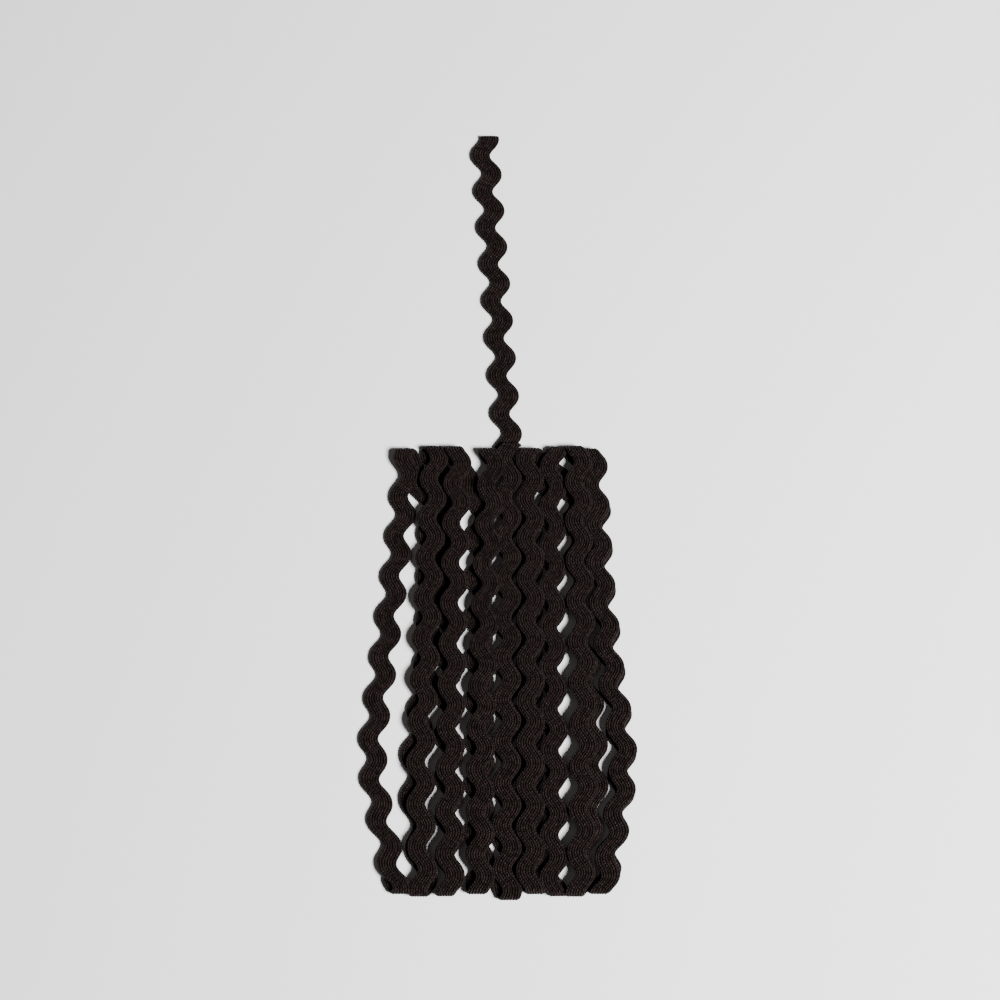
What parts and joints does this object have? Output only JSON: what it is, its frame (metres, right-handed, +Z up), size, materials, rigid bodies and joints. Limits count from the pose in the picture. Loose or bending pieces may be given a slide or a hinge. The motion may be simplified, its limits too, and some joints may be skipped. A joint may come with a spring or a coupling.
{
  "type": "hank of ric rac trim",
  "caption": "Flat hank of dark brown baby ric rac, a narrow braid woven in a wave, wound in long folded runs with its loose end laid out straight above.",
  "frame": {"origin": "middle of the base of the whole part, on the surface that the hank lies on", "axes": "+Y along the runs towards the loose end's tip, +X to the right seen from above, +Z up through the thickness"},
  "size_m": [0.056, 0.162, 0.0027],
  "materials": {
    "braid": "very dark brown plaited polyester yarn, ribbed lengthwise, with a mild sheen"
  },
  "bodies": {
    "root": {"hank": "braid", "loose_end": "braid"}
  },
  "joints": []
}
